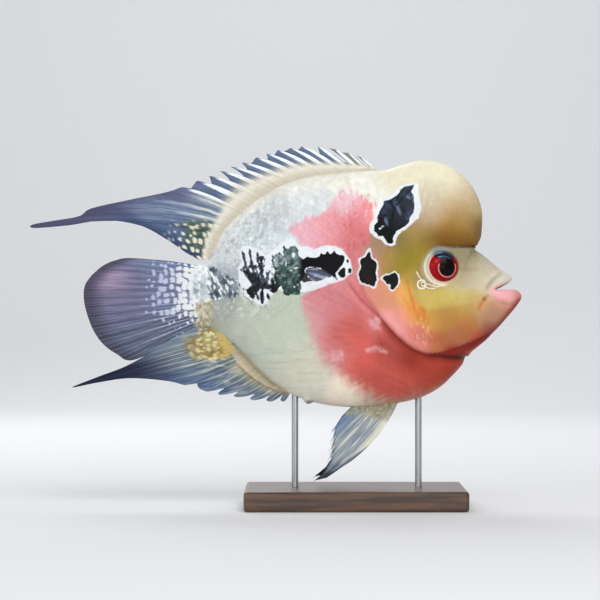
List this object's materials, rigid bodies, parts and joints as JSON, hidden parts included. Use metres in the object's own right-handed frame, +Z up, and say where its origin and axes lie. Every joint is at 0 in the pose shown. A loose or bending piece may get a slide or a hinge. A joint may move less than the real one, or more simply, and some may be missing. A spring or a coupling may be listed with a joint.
{
  "type": "flowerhorn cichlid model",
  "caption": "Flowerhorn cichlid as a still life-size museum model with a high nuchal hump and trailing fins, held on two rods over a flat display base.",
  "frame": {"origin": "centre of the underside of the stand base", "axes": "+X towards the fish's head, +Z up, the right flank faces -Y"},
  "size_m": [0.2931, 0.084, 0.2162],
  "materials": {
    "skin_head": "satin, olive yellow",
    "skin_hump": "satin, cream to ochre",
    "skin_jaw": "satin, pink and white",
    "skin_gill": "satin, orange to pink",
    "skin_flank": "satin, salmon and grey with black blotches",
    "fin_web": "satin, slate with cream rays",
    "fin_clear": "satin, clear pink",
    "eye_ball": "glossy, red with a black pupil",
    "stand_wood": "dark, satin",
    "stand_steel": "brushed"
  },
  "bodies": {
    "root": {"head": "skin_head", "nuchal_hump": "skin_hump", "upper_jaw": "skin_jaw", "lower_jaw": "skin_jaw", "gill_cover_right": "skin_gill", "gill_cover_left": "skin_gill", "torso": "skin_flank", "tail_stalk": "skin_flank", "eye_right": "eye_ball", "eye_left": "eye_ball", "dorsal_fin": "fin_web", "anal_fin": "fin_web", "caudal_fin": "fin_web", "pectoral_fin_right": "fin_clear", "pectoral_fin_left": "fin_clear", "pelvic_fin_right": "fin_web", "pelvic_fin_left": "fin_web", "stand_base": "stand_wood", "stand_rod_front": "stand_steel", "stand_rod_rear": "stand_steel"}
  },
  "joints": []
}
